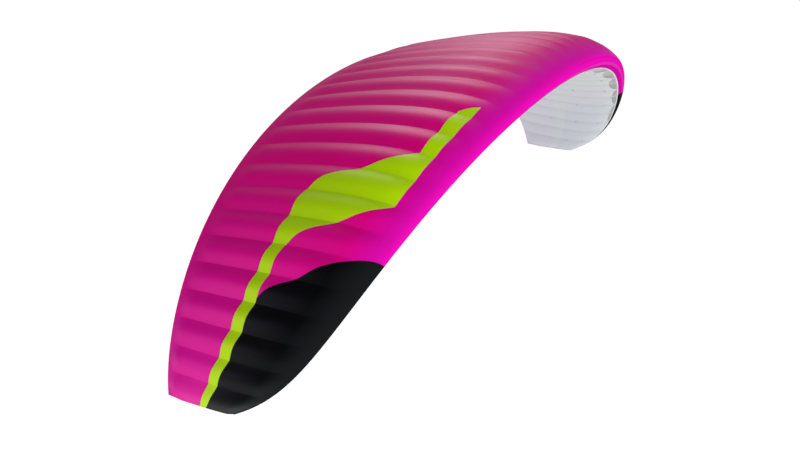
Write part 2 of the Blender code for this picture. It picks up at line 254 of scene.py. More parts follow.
# The stage, and its lights as name: (azimuth, elevation, strength, colour), with angles in degrees
FLOOR_LEVEL = -24.0
FLOOR_RADIUS = 400.0
FLOOR_POINTS = 96
FLOOR_COLOR = (0.90, 0.90, 0.90, 1.0)
FLOOR_GLOW = 0.60
SKY_GLOW = 0.08
PURE_WHITE = (1.0, 1.0, 1.0, 1.0)
LIGHT_WIDTH = 20
LIGHT_DISTANCE = 20
LIGHTS = {
    "front_light": (-10, 9, 2.10, (1.0, 1.0, 1.0)),
    "side_light": (-65, 32, 0.45, (1.0, 1.0, 1.0)),
    "rear_side_light": (-140, 10, 0.75, (1.0, 0.88, 1.25)),
    "back_light": (120, 35, 0.95, (1.0, 1.0, 1.0)),
}


# The wing's formulas


def power_sum(terms, u):
    return sum(size * np.abs(u) ** power for power, size in terms.items())


def arch_angle(u):
    return ARCH_TIP_ANGLE * (ARCH_ROUNDNESS * u + (1 - ARCH_ROUNDNESS) * u**3)


def arch_table():
    """Where the arch lies at each step from the middle to a tip, as (u, across, down)."""
    step = HALF_SPAN / ARCH_STEPS
    angle = arch_angle((np.arange(ARCH_STEPS) + 0.5) / ARCH_STEPS)
    across = np.concatenate([[0.0], np.cumsum(step * np.cos(angle))])
    down = np.concatenate([[0.0], np.cumsum(step * np.sin(angle))])
    return np.linspace(0, 1, ARCH_STEPS + 1), across, down


ARCH = arch_table()


def arch_point(u):
    across = np.interp(np.abs(u), ARCH[0], ARCH[1])
    down = np.interp(np.abs(u), ARCH[0], ARCH[2])
    return np.sign(u) * across, -down


def lean(u):
    """How far a rib leans over, positive to the left."""
    return np.sign(u) * arch_angle(np.abs(u))


def rib_u(rib):
    q = 2 * np.asarray(rib, float) / CELLS - 1
    return q * (1 + CELL_TAPER * (1 - q * q))


def rib_axes(rib):
    """Unit directions across a rib and up it."""
    angle = lean(rib_u(rib))
    return np.array([0, np.cos(angle), -np.sin(angle)]), np.array([0, np.sin(angle), np.cos(angle)])


def nose_x(u):
    return ORIGIN_AT * ROOT_CHORD - power_sum(LEADING_SWEEP, u)


def chord_at(u):
    tail = ORIGIN_AT * ROOT_CHORD - ROOT_CHORD + power_sum(TRAILING_SWEEP, u)
    return nose_x(u) - tail


def profile_height(row, thickness):
    """Height over the chord line, as a share of the chord."""
    r = np.abs(row)
    x = r * r
    half = ROOT_TERM * r
    for power, size in POWER_TERMS.items():
        half = half + size * x**power
    half = 5 * thickness * half
    ahead = CAMBER / CAMBER_AT**2 * (2 * CAMBER_AT * x - x * x)
    behind = CAMBER / (1 - CAMBER_AT) ** 2 * (1 - 2 * CAMBER_AT + 2 * CAMBER_AT * x - x * x)
    return np.where(x < CAMBER_AT, ahead, behind) + np.copysign(half, row)


def smooth(low, high, value):
    s = np.clip((value - low) / (high - low), 0.0, 1.0)
    return s * s * (3 - 2 * s)


def bulge(rib, row):
    """How far the cloth swells between two ribs: a hump that grows behind the nose and dies at the tail."""
    part = rib - np.floor(rib)
    x = row * row
    share = np.where(row > 0, UPPER_BULGE, LOWER_BULGE)
    width = HALF_SPAN * 2 / CELLS
    arc = 4 * part * (1 - part)
    hump = arc * (BULGE_AT_SEAM + (1 - BULGE_AT_SEAM) * arc)
    return hump * share * width * smooth(*BULGE_GROWS, x) * (1 - smooth(*BULGE_FADES, x))


def place(rib, aft, height):
    """Point at this distance behind the nose and over the chord line, in the plane of a rib."""
    u = rib_u(rib)
    twist = TIP_TWIST * u * u
    x = nose_x(u) - aft * np.cos(twist) + height * np.sin(twist)
    lift = height * np.cos(twist) + aft * np.sin(twist)
    y, z = arch_point(u)
    angle = lean(u)
    return np.stack([x, y + lift * np.sin(angle), z + lift * np.cos(angle)], axis=-1)


def outline(rib, row, out=0.0):
    """(aft, height) of the cloth in a rib's plane, moved outwards by out."""
    u = rib_u(rib)
    chord = chord_at(u)
    thickness = THICKNESS * (1 - power_sum(TIP_THINNING, u))
    low, high = row - SLOPE_STEP, row + SLOPE_STEP
    along = (high * high - low * low) * chord
    rise = (profile_height(high, thickness) - profile_height(low, thickness)) * chord
    long = np.hypot(along, rise)
    edge = np.copysign(0.5 * TRAILING_EDGE * row * row, row)
    aft = row * row * chord - rise / long * out
    height = profile_height(row, thickness) * chord + edge + along / long * out
    return aft, height


def both_walls(rib, row, out=0.0):
    """(aft, height) of the upper cloth and of the lower cloth at a row."""
    return np.array(outline(rib, row, out)), np.array(outline(rib, -row, out))


def skin(rib, row, raised=0.0):
    """Points on the cloth's outer face."""
    rib = np.asarray(rib, float)
    row = np.asarray(row, float)
    return place(rib, *outline(rib, row, bulge(rib, row) + raised))


def span_metres(rib):
    """Distance along the arch from the right tip, laid flat."""
    return HALF_SPAN * (1 + rib_u(rib))


# Mesh tools


def deselect():
    bpy.ops.object.select_all(action="DESELECT")


def only(obj):
    deselect()
    obj.select_set(True)
    bpy.context.view_layer.objects.active = obj


@contextmanager
def whole_mesh(obj):
    """Edit mode, with all of the mesh selected."""
    only(obj)
    bpy.ops.object.mode_set(mode="EDIT")
    bpy.ops.mesh.select_all(action="SELECT")
    yield
    bpy.ops.object.mode_set(mode="OBJECT")


def face_outwards(obj):
    with whole_mesh(obj):
        bpy.ops.mesh.normals_make_consistent(inside=False)


def turn_over(obj):
    with whole_mesh(obj):
        bpy.ops.mesh.flip_normals()


def remove_points(obj, chosen):
    with whole_mesh(obj):
        bpy.ops.mesh.select_mode(type="VERT")
        bpy.ops.mesh.select_all(action="DESELECT")
    obj.data.vertices.foreach_set("select", chosen)
    bpy.ops.object.mode_set(mode="EDIT")
    bpy.ops.mesh.delete(type="VERT")
    bpy.ops.object.mode_set(mode="OBJECT")


def mesh_points(obj):
    flat = np.empty(len(obj.data.vertices) * 3)
    obj.data.vertices.foreach_get("co", flat)
    return flat.reshape(-1, 3)


def move_points(obj, points):
    obj.data.vertices.foreach_set("co", np.asarray(points, float).ravel())
    obj.data.update()


def flat_extent(obj):
    """(length along X, size across it) of a flat piece."""
    size = mesh_points(obj).max(0) - mesh_points(obj).min(0)
    return float(size[0]), float(np.linalg.norm(size[1:]))


def join_into(name, pieces):
    """Pieces joined into one object of this name."""
    only(pieces[0])
    for piece in pieces:
        piece.select_set(True)
    if len(pieces) > 1:
        bpy.ops.object.join()
    pieces[0].name = name
    pieces[0].data.name = name
    return pieces[0]


def set_material(obj, material):
    obj.data.materials.clear()
    obj.data.materials.append(material)


def thicken(obj, thickness, offset, crease, **settings):
    """Gives a sheet its thickness, and makes it smooth but for edges sharper than crease."""
    only(obj)
    wall = obj.modifiers.new("thickness", "SOLIDIFY")
    wall.thickness = thickness
    wall.offset = offset
    for name, value in settings.items():
        setattr(wall, name, value)
    bpy.ops.object.modifier_apply(modifier=wall.name)
    bpy.ops.object.shade_smooth_by_angle(angle=crease)


def finish_cloth(obj, outer, inner, thickness=CLOTH, offset=-1.0, crease=SEAM_CREASE):
    """Gives a sheet its thickness, with another finish on its inner face, and keeps its seams crisp."""
    set_material(obj, outer)
    two_faced = inner is not outer
    if two_faced:
        obj.data.materials.append(inner)
    thicken(obj, thickness, offset, crease, use_even_offset=True, material_offset=int(two_faced))


def record_value(obj, name, values):
    """Keeps a number for each point on the mesh, for the materials."""
    kept = obj.data.attributes.new(name, "FLOAT", "POINT")
    kept.data.foreach_set("value", np.asarray(values, np.float32))


def record_place(obj, rib, row):
    """Keeps each point's rib, its chord fraction and the cloth's own metres on the mesh."""
    record_value(obj, "rib", rib)
    record_value(obj, "aft", row * row)
    layer = obj.data.uv_layers[0] if obj.data.uv_layers else obj.data.uv_layers.new(name="cloth")
    layer.name = "cloth"
    loops = np.empty(len(obj.data.loops), int)
    obj.data.loops.foreach_get("vertex_index", loops)
    metres = np.stack([span_metres(rib), row * row * chord_at(rib_u(rib))], axis=-1)[loops]
    layer.data.foreach_set("uv", metres.ravel())


def grid_sheet(name, ribs, rows):
    """A grid laid flat over the ribs and rows, as an object with its rib and row numbers for each point."""
    deselect()
    bpy.ops.mesh.primitive_grid_add(x_subdivisions=len(ribs) - 1, y_subdivisions=len(rows) - 1, size=1)
    obj = bpy.context.object
    obj.name = name
    obj.data.name = name
    flat = mesh_points(obj) + 0.5
    across = np.rint(flat[:, 0] * (len(ribs) - 1)).astype(int)
    along = np.rint(flat[:, 1] * (len(rows) - 1)).astype(int)
    return obj, np.asarray(ribs, float)[across], np.asarray(rows, float)[along]


# Rows, stretches and the bodies that they follow


def cell_ribs(first, last, columns=CELL_COLUMNS):
    """Rib numbers of the columns of points, with whole numbers exactly on the ribs."""
    return np.linspace(first, last, (last - first) * columns + 1).round(6)


def lip_at(rib):
    """Chord fraction of the lip under the nose."""
    return LIP_AT - LIP_TAPER * rib_u(rib) ** 4


def under_nose(rib, row):
    """Moves the rows near the lip so that LIP_ROW comes to lie on it."""
    lip = -np.sqrt(lip_at(rib))
    rear = INTAKE_BLOCK[0]
    ahead = lip * row / LIP_ROW
    behind = rear + (row - rear) * (lip - rear) / (LIP_ROW - rear)
    return np.where(row > 0, row, np.where(row >= LIP_ROW, ahead, np.where(row > rear, behind, row)))


def upper_rows():
    """Rows from the lip under the nose to the tail, close together round the nose."""
    nose = np.linspace(LIP_ROW, NOSE_END_ROW, NOSE_ROWS)
    back = np.sqrt(np.linspace(NOSE_END_ROW**2, 1.0, UPPER_BACK_ROWS))
    return np.concatenate([nose[:-1], back])


def lower_rows():
    """Rows from the tail to the lip under the nose."""
    back = -np.sqrt(np.linspace(1.0, INTAKE_BLOCK[0] ** 2, LOWER_BACK_ROWS))
    block = np.linspace(*INTAKE_BLOCK, INTAKE_BLOCK_STEPS + 1)
    return np.concatenate([back[:-1], block, [LIP_ROW]])


def bend_line(stretch):
    """(brake body, start, end) of the bend of a stretch of cloth, or None where it doesn't bend."""
    first, last = STRETCHES[stretch]
    if "brake" not in stretch and "gusset" not in stretch:
        return None
    right = stretch.startswith("right")
    side = "right_brake" if right else "left_brake"
    if "brake" in stretch:
        middle = skin(0.5 * (first + last), BEND_ROW)
        return side, (BEND_START, middle[1], middle[2]), (BEND_END, middle[1], middle[2])
    outer = "outer" in stretch
    brake_rib, far_rib = (last, first) if right == outer else (first, last)
    angle = float(lean(rib_u(brake_rib)))
    across = Vector((0.0, math.cos(angle), -math.sin(angle))) * (1 if far_rib > brake_rib else -1)
    fall = OUTER_GUSSET_FALL if outer else INNER_GUSSET_FALL
    reach = 1 / (BEND_START - BEND_END)
    slope = Vector((-reach, 0.0, 0.0)) - across * fall
    hinge = Vector(skin(float(brake_rib), BEND_ROW))
    start = Vector((BEND_START, hinge.y, hinge.z))
    return side, tuple(start), tuple(start + slope / slope.length_squared)


def carry(obj, stretch):
    """Rides the canopy, or, where the stretch crosses a brake's bend, has its transform baked into its mesh
    and is left unattached.
    """
    bend = bend_line(stretch) if stretch else None
    if bend:
        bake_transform(obj)
    else:
        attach(obj, "canopy")


def stood_for(prefixes, first, last):
    """CAD nodes of these prefixes whose section lies in the stretch from rib first to rib last."""
    return [
        f"{prefix}_{name}"
        for prefix in prefixes
        for name, (low, high) in SECTIONS.items()
        if low < last and high > first and f"{prefix}_{name}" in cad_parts
    ]


# Material tools

# Where a Mix node keeps its colours
MIX_LOW = 6
MIX_HIGH = 7
MIX_RESULT = 2


def new_material(name):
    material = bpy.data.materials.new(name)
    material.use_nodes = True
    tree = material.node_tree
    return material, tree, tree.nodes["Principled BSDF"]


def value_of(tree, socket, value):
    """Plugs a socket in, or sets the number."""
    if isinstance(value, bpy.types.NodeSocket):
        tree.links.new(value, socket)
    else:
        socket.default_value = value


def calc(tree, operation, a, b=0.0, c=0.0, clamp=False):
    node = tree.nodes.new("ShaderNodeMath")
    node.operation = operation
    node.use_clamp = clamp
    for socket, value in zip(node.inputs, (a, b, c)):
        value_of(tree, socket, value)
    return node.outputs[0]


def attribute(tree, name):
    node = tree.nodes.new("ShaderNodeAttribute")
    node.attribute_name = name
    return node.outputs["Fac"]


def mix_color(tree, share, low, high, blend="MIX"):
    node = tree.nodes.new("ShaderNodeMix")
    node.data_type = "RGBA"
    node.blend_type = blend
    value_of(tree, node.inputs["Factor"], share)
    value_of(tree, node.inputs[MIX_LOW], low)
    value_of(tree, node.inputs[MIX_HIGH], high)
    return node.outputs[MIX_RESULT]


def shaded(tree, color, tone):
    """A colour times a grey tone."""
    node = tree.nodes.new("ShaderNodeCombineColor")
    for socket in node.inputs[:3]:
        tree.links.new(tone, socket)
    return mix_color(tree, 1.0, color, node.outputs[0], "MULTIPLY")


def noise(tree, vector, scale, detail=3.0):
    node = tree.nodes.new("ShaderNodeTexNoise")
    node.inputs["Scale"].default_value = scale
    node.inputs["Detail"].default_value = detail
    value_of(tree, node.inputs["Vector"], vector)
    return node.outputs["Fac"]


def uneven(tree, patches, spread, middle):
    """A number that wanders about its middle, from the noise of these patches."""
    return calc(tree, "MULTIPLY_ADD", patches, spread, middle - 0.5 * spread)


def bump(tree, height, relief, normal=None):
    """Raises the surface by height. The relief is a distance and a strength."""
    node = tree.nodes.new("ShaderNodeBump")
    node.inputs["Distance"].default_value = relief[0]
    node.inputs["Strength"].default_value = relief[1]
    value_of(tree, node.inputs["Height"], height)
    if normal is not None:
        tree.links.new(normal, node.inputs["Normal"])
    return node.outputs[0]


def between(tree, value, limits):
    """0 up to the first limit, 1 from the second on, and a straight rise in between."""
    low, high = limits
    return calc(tree, "DIVIDE", calc(tree, "SUBTRACT", value, low), high - low, clamp=True)


def from_tip(tree):
    """How many cells in from the nearer tip."""
    from_middle = calc(tree, "ABSOLUTE", calc(tree, "SUBTRACT", attribute(tree, "rib"), 0.5 * CELLS))
    return calc(tree, "SUBTRACT", 0.5 * CELLS, from_middle)


def seam_mask(tree, half_width):
    """1 on the seam over each rib, falling to 0 at half_width cells beside it."""
    away = calc(tree, "PINGPONG", attribute(tree, "rib"), 0.5)
    return calc(tree, "SUBTRACT", 1.0, calc(tree, "DIVIDE", away, half_width), clamp=True)


# Pattern

# Its borders as (chord fraction, cells in from the tip), all less than BORDER_SCALE cells in
BLACK_BORDER = [
    (0.0, 6.22), (0.10, 5.98), (0.20, 5.55), (0.29, 5.02), (0.36, 4.74), (0.41, 4.48), (0.45, 4.10),
]
FIELD_OUTER = [(0.08, 8.00), (0.17, 7.50), (0.26, 7.02), (0.36, 6.62), (0.41, 6.32), (0.445, 5.95)]
FIELD_INNER = [(0.14, 10.05), (0.23, 9.50), (0.325, 9.00), (0.415, 8.70), (0.472, 8.37), (0.508, 7.95)]
BORDER_SCALE = 14.0

# The front of the field, and the stripe: its front, its rear at the tip, how much of the chord it narrows
# with each cell in, and how it bends forward in the last cells
FIELD_FRONT = 0.086
STRIPE_FRONT = 0.445
STRIPE_REAR = 0.5405
STRIPE_NARROWS = 0.0039
STRIPE_BENDS = 0.05
BENT_CELLS = 1.1

# The arm from the field towards the middle: its rear, its point as (chord fraction, cells in), how many
# cells shorter it is for each chord aft of that, and the cells in where it starts
ARM_REAR = 0.145
ARM_TIP = (0.087, 12.55)
ARM_SLOPE = 8.0
ARM_STARTS = 9.0


def border(tree, aft, points):
    """Cells in from the tip at a chord fraction, on a smooth curve through a border's points."""
    node = tree.nodes.new("ShaderNodeFloatCurve")
    curve = node.mapping.curves[0]
    node.mapping.extend = "HORIZONTAL"
    for x, y in points[1:-1]:
        curve.points.new(x, y / BORDER_SCALE)
    curve.points[0].location = (points[0][0], points[0][1] / BORDER_SCALE)
    curve.points[-1].location = (points[-1][0], points[-1][1] / BORDER_SCALE)
    node.mapping.update()
    value_of(tree, node.inputs["Value"], aft)
    return calc(tree, "MULTIPLY", node.outputs[0], BORDER_SCALE)


def lime_arm(tree, aft, near):
    """Where the arm of the field lies, 0 or 1."""
    fall = calc(tree, "MULTIPLY", ARM_SLOPE, calc(tree, "SUBTRACT", aft, ARM_TIP[0]))
    end = calc(tree, "SUBTRACT", ARM_TIP[1], fall)
    arm = calc(tree, "MULTIPLY", calc(tree, "LESS_THAN", aft, ARM_REAR), calc(tree, "LESS_THAN", near, end))
    return calc(tree, "MULTIPLY", arm, calc(tree, "GREATER_THAN", near, ARM_STARTS))


def pattern_masks(tree):
    """(lime, black): where the cloth is lime and where it is black, 0 or 1."""
    aft = attribute(tree, "aft")
    near = from_tip(tree)
    bent = calc(tree, "MAXIMUM", calc(tree, "SUBTRACT", BENT_CELLS, near), 0.0)
    along = calc(tree, "MULTIPLY_ADD", bent, STRIPE_BENDS, aft)
    narrowed = calc(tree, "MULTIPLY_ADD", near, STRIPE_NARROWS, along)
    before_rear = calc(tree, "LESS_THAN", narrowed, STRIPE_REAR)
    behind_front = calc(tree, "GREATER_THAN", aft, FIELD_FRONT)
    inside = calc(tree, "LESS_THAN", near, border(tree, aft, FIELD_INNER))
    outside = calc(tree, "GREATER_THAN", near, border(tree, aft, FIELD_OUTER))
    in_stripe = calc(tree, "GREATER_THAN", along, STRIPE_FRONT)
    field = calc(tree, "MULTIPLY", inside, calc(tree, "MAXIMUM", outside, in_stripe))
    lime = calc(tree, "MAXIMUM", field, lime_arm(tree, aft, near))
    lime = calc(tree, "MULTIPLY", lime, calc(tree, "MULTIPLY", behind_front, before_rear))
    before_stripe = calc(tree, "LESS_THAN", along, STRIPE_FRONT)
    tipward = calc(tree, "LESS_THAN", near, border(tree, aft, BLACK_BORDER))
    return lime, calc(tree, "MULTIPLY", before_stripe, tipward)


# Finishes

# Dyes of the upper cloth, with painted light on them. The nose's magenta and black are painted light,
# lighter and more violet as where the front lamp falls, and run out over the chord fractions of NOSE_FADES;
# the tip's magenta is a painted highlight, lighter and more violet, and runs out over the cells in from the
# tip of TIP_FADES.
MAGENTA = (0.80, 0.0006, 0.220, 1.0)
NOSE_PAINTED_LIGHT_MAGENTA = (0.72, 0.0035, 0.405, 1.0)
TIP_PAINTED_HIGHLIGHT_MAGENTA = (0.82, 0.0040, 0.335, 1.0)
LIME = (0.475, 0.81, 0.0028, 1.0)
BLACK = (0.0026, 0.0028, 0.0032, 1.0)
NOSE_PAINTED_LIGHT_BLACK = (0.0090, 0.0102, 0.0115, 1.0)
NOSE_FADES = (0.03, 0.15)
TIP_FADES = (2.0, 9.0)

# Patches of uneven dye on a metre, and how far they differ. Under the nose, painted shade darkens the cloth
# by the last share, from row 0 down to the row -UNDER_REACH.
DYE_PATCHES = 1.3
DYE_SPREAD = 0.10
UNDER_REACH = 0.12
UNDER_NOSE_PAINTED_SHADE = 0.25

# Threads of the seams over the ribs, with their half width in cells, and the dark line along the lip: its
# seam, deepened with painted shade where the cloth turns under the nose
THREAD = (0.02, 0.0, 0.01, 1.0)
THREAD_HALF_WIDTH = 0.012
THREAD_SHARE = 0.08
LIP_SEAM_AND_SHADE = (0.05, 0.0, 0.03, 1.0)
LIP_SEAM_AND_SHADE_SHARE = 0.9

# Gloss of the coating: its tints, its strength on black, and the chord fractions over which it rises behind
# the nose. Near a tip it calms down by CALM_SHARE, towards the tip over the cells in of TIP_CALM and aft
# over the chord fractions of TAIL_CALM. It is uneven in patches, so many on a metre.
MAGENTA_GLOSS = (0.60, 0.0, 0.20, 1.0)
LIME_GLOSS = (1.0, 1.0, 0.02, 1.0)
BLACK_GLOSS = (0.03, 0.04, 0.05, 1.0)
BLACK_LEVEL = 0.5
GLOSS_RISES = (0.003, 0.065)
TIP_CALM = (4.0, 12.0)
TAIL_CALM = (0.5, 0.85)
CALM_SHARE = 0.75
COATING_IOR = 1.40
SATIN_PATCHES = 2.2
SATIN_SPREAD = 0.10

# Ripstop weave: the metres between its thicker threads, and their half width as a share of that. Puckers are
# counted on a metre. A relief is (metres, strength).
RIPSTOP = 0.0065
RIPSTOP_THREAD = 0.09
RIPSTOP_RELIEF = (0.0002, 0.35)
PUCKERS = 9.0
PUCKER_RELIEF = (0.002, 0.25)

# Lower cloth: white, with painted light, a share of the upper cloth's colours that shine through it, and
# with painted shade beside a rib
WHITE = (0.570, 0.595, 0.61, 1.0)
PAINTED_MAGENTA_THROUGH = (0.60, 0.50, 0.55, 1.0)
PAINTED_LIME_THROUGH = (0.53, 0.62, 0.47, 1.0)
PAINTED_BLACK_THROUGH = (0.42, 0.45, 0.50, 1.0)
PAINTED_THROUGH_SHARE = 0.17
RIB_SHADOW = (0.25, 0.26, 0.28, 1.0)
RIB_SHADOW_HALF_WIDTH = 0.25
RIB_SHADOW_SHARE = 0.13

# Undyed cloth, its painted glow that stands in for daylight coming through it inside the cells, and its
# weave and clouds on a metre
INNER_WHITE = (0.56, 0.56, 0.555, 1.0)
INNER_PAINTED_GLOW = 0.28
RIB_WHITE = (0.60, 0.60, 0.59, 1.0)
RIB_PAINTED_GLOW = 0.26
WEBBING_WHITE = (0.52, 0.53, 0.54, 1.0)
PLAIN_GLOSS = 0.3
WEAVE = 260.0
WEAVE_DETAIL = 2.0
WEAVE_RELIEF = (0.0004, 0.4)
CLOUDS = 3.0
CLOUD_SPREAD = 0.16

# Roughness of each finish
UPPER_ROUGHNESS = 0.50
LOWER_ROUGHNESS = 0.55
INNER_ROUGHNESS = 0.60
RIB_ROUGHNESS = 0.65
WEBBING_ROUGHNESS = 0.55
TAPE_ROUGHNESS = 0.55


def ripstop(tree):
    """(threads, metres): a raised square of thicker threads over the cloth's own metres."""
    uv = tree.nodes.new("ShaderNodeUVMap")
    uv.uv_map = "cloth"
    split = tree.nodes.new("ShaderNodeSeparateXYZ")
    tree.links.new(uv.outputs[0], split.inputs[0])
    lines = []
    for axis in (0, 1):
        wave = calc(tree, "PINGPONG", split.outputs[axis], 0.5 * RIPSTOP)
        lines.append(calc(tree, "LESS_THAN", wave, RIPSTOP_THREAD * RIPSTOP))
    return calc(tree, "MAXIMUM", *lines), uv.outputs[0]


def raise_weave(tree, shader, threads, metres):
    """The relief of coated ripstop cloth."""
    fine = bump(tree, threads, RIPSTOP_RELIEF)
    puckered = bump(tree, noise(tree, metres, PUCKERS), PUCKER_RELIEF, fine)
    tree.links.new(puckered, shader.inputs["Normal"])


def satin(tree, shader, roughness, gloss):
    """The coated cloth's gloss, a little uneven over the cloth."""
    coordinates = tree.nodes.new("ShaderNodeTexCoord")
    patches = noise(tree, coordinates.outputs["Object"], SATIN_PATCHES)
    tree.links.new(uneven(tree, patches, SATIN_SPREAD, roughness), shader.inputs["Roughness"])
    shader.inputs["IOR"].default_value = COATING_IOR
    shader.inputs["Specular IOR Level"].default_value = gloss


def upper_color(tree, lime, black, metres):
    behind_nose = between(tree, attribute(tree, "aft"), NOSE_FADES)
    # Painted highlight: the tip's magenta is lighter and more violet.
    magenta = mix_color(tree, between(tree, from_tip(tree), TIP_FADES), TIP_PAINTED_HIGHLIGHT_MAGENTA, MAGENTA)
    # Painted light on the nose: its magenta, and below its black, are lighter and more violet, as where the
    # front lamp falls.
    magenta = mix_color(tree, behind_nose, NOSE_PAINTED_LIGHT_MAGENTA, magenta)
    color = mix_color(tree, lime, magenta, LIME)
    color = mix_color(tree, black, color, mix_color(tree, behind_nose, NOSE_PAINTED_LIGHT_BLACK, BLACK))
    tone = uneven(tree, noise(tree, metres, DYE_PATCHES), DYE_SPREAD, 1.0)
    # Painted shade under the nose.
    shade = calc(tree, "MULTIPLY", attribute(tree, "under"), UNDER_NOSE_PAINTED_SHADE)
    color = shaded(tree, color, calc(tree, "SUBTRACT", tone, shade))
    seam = calc(tree, "MULTIPLY", seam_mask(tree, THREAD_HALF_WIDTH), THREAD_SHARE)
    color = mix_color(tree, seam, color, THREAD)
    # Dark line along the lip: its seam, deepened with painted shade.
    return mix_color(tree, calc(tree, "MULTIPLY", attribute(tree, "lip"), LIP_SEAM_AND_SHADE_SHARE), color, LIP_SEAM_AND_SHADE)


def upper_gloss_level(tree, black):
    """Strength of the upper cloth's gloss: none at the nose and under it, less on black and at the tips."""
    level = between(tree, attribute(tree, "aft"), GLOSS_RISES)
    level = calc(tree, "MULTIPLY", level, calc(tree, "MULTIPLY_ADD", black, BLACK_LEVEL - 1, 1.0))
    level = calc(tree, "MULTIPLY", level, calc(tree, "SUBTRACT", 1.0, attribute(tree, "under")))
    tipward = calc(tree, "SUBTRACT", 1.0, between(tree, from_tip(tree), TIP_CALM))
    calm = calc(tree, "MULTIPLY", tipward, between(tree, attribute(tree, "aft"), TAIL_CALM))
    return calc(tree, "MULTIPLY", level, calc(tree, "MULTIPLY_ADD", calm, -CALM_SHARE, 1.0))


def upper_cloth():
    material, tree, shader = new_material("upper_cloth_magenta_lime_black")
    lime, black = pattern_masks(tree)
    threads, metres = ripstop(tree)
    tree.links.new(upper_color(tree, lime, black, metres), shader.inputs["Base Color"])
    tint = mix_color(tree, black, mix_color(tree, lime, MAGENTA_GLOSS, LIME_GLOSS), BLACK_GLOSS)
    tree.links.new(tint, shader.inputs["Specular Tint"])
    satin(tree, shader, UPPER_ROUGHNESS, 1.0)
    tree.links.new(upper_gloss_level(tree, black), shader.inputs["Specular IOR Level"])
    raise_weave(tree, shader, threads, metres)
    return material


def lower_cloth():
    material, tree, shader = new_material("lower_cloth_white")
    lime, black = pattern_masks(tree)
    threads, metres = ripstop(tree)
    # Painted light: the upper cloth's colours shining through the white cloth.
    through = mix_color(tree, lime, PAINTED_MAGENTA_THROUGH, PAINTED_LIME_THROUGH)
    through = mix_color(tree, black, through, PAINTED_BLACK_THROUGH)
    color = mix_color(tree, PAINTED_THROUGH_SHARE, WHITE, through)
    # Painted shade beside each rib.
    shadow = calc(tree, "MULTIPLY", seam_mask(tree, RIB_SHADOW_HALF_WIDTH), RIB_SHADOW_SHARE)
    tree.links.new(mix_color(tree, shadow, color, RIB_SHADOW), shader.inputs["Base Color"])
    satin(tree, shader, LOWER_ROUGHNESS, PLAIN_GLOSS)
    raise_weave(tree, shader, threads, metres)
    return material


def plain_cloth(name, color, roughness, painted_glow=0.0):
    """Cloth of one colour, with its own weave over Object coordinates.

    It can have a little painted glow: an even emission of its own colour, standing in for daylight through
    the walls of the cells.
    """
    material, tree, shader = new_material(name)
    coordinates = tree.nodes.new("ShaderNodeTexCoord")
    weave = noise(tree, coordinates.outputs["Object"], WEAVE, WEAVE_DETAIL)
    clouds = noise(tree, coordinates.outputs["Object"], CLOUDS)
    cloudy = shaded(tree, color, uneven(tree, clouds, CLOUD_SPREAD, 1.0))
    tree.links.new(cloudy, shader.inputs["Base Color"])
    satin(tree, shader, roughness, PLAIN_GLOSS)
    # Painted glow: an even emission of the cloth's own colour.
    shader.inputs["Emission Color"].default_value = color
    shader.inputs["Emission Strength"].default_value = painted_glow
    tree.links.new(bump(tree, weave, WEAVE_RELIEF), shader.inputs["Normal"])
    return material


# Cloth


def declare_cloth(obj, stretch, side):
    first, last = STRETCHES[stretch]
    prefixes = ("leading_edge", "upper") if side == "upper" else ("intake_panel", "lower")
    nodes = stood_for(prefixes, first, last)
    if stretch in ("right_brake", "left_brake"):
        nodes.append("brake_right" if stretch == "right_brake" else "brake_left")
    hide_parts(*nodes)
    carry(obj, stretch)


def upper_sheet(stretch, material, inner):
    rows = upper_rows()
    obj, rib, row = grid_sheet(f"upper_cloth_{stretch}", cell_ribs(*STRETCHES[stretch]), rows)
    record_value(obj, "lip", row <= LIP_ROW)
    record_value(obj, "under", np.clip(-row / UNDER_REACH, 0.0, 1.0))
    row = np.where(row < 0, under_nose(rib, row), row)
    move_points(obj, skin(rib, row))
    record_place(obj, rib, row)
    finish_cloth(obj, material, inner)
    declare_cloth(obj, stretch, "upper")


def intakes():
    """The ribs that each intake lies between, from right to left."""
    ends = INTAKE_END_RIBS + [CELLS - end for end in reversed(INTAKE_END_RIBS)]
    return list(zip(ends, ends[1:]))


def intake_edge(ends, way):
    """(rib, row) of the edge of the intake between two ribs, at a way round it."""
    first, last = ends
    middle = 0.5 * (first + last)
    half = 0.5 * (last - first) * INTAKE_WIDTH
    turn = math.pi * np.minimum(way, WAY_FRONT) / WAY_FRONT
    across = np.where(way <= WAY_FRONT, -np.cos(turn), 0.5 * (WAY_FRONT + WAY_ROUND) - way)
    behind = np.where(way <= WAY_FRONT, np.sin(turn), 0.0)
    rib = middle + half * across
    depth = INTAKE_REACH - INTAKE_TAPER * rib_u(middle) ** 2 - lip_at(middle) - INTAKE_BAND
    return rib, -np.sqrt(lip_at(rib) + INTAKE_BAND + depth * behind)


def way_round(a, b):
    """The way round at a point seen from the middle of an intake, a to the left and b to the front.

    The middles of the right, rear, left and front side lie at 1, 3, 5 and 7.
    """
    square = np.maximum(np.maximum(np.abs(a), np.abs(b)), TINY)
    a, b = a / square, b / square
    side = 1 - TINY
    way = np.where(b <= -side, 3 + a, np.where(a >= side, 5 + b, 1 - b))
    return np.where(b >= side, 7 - a, way)


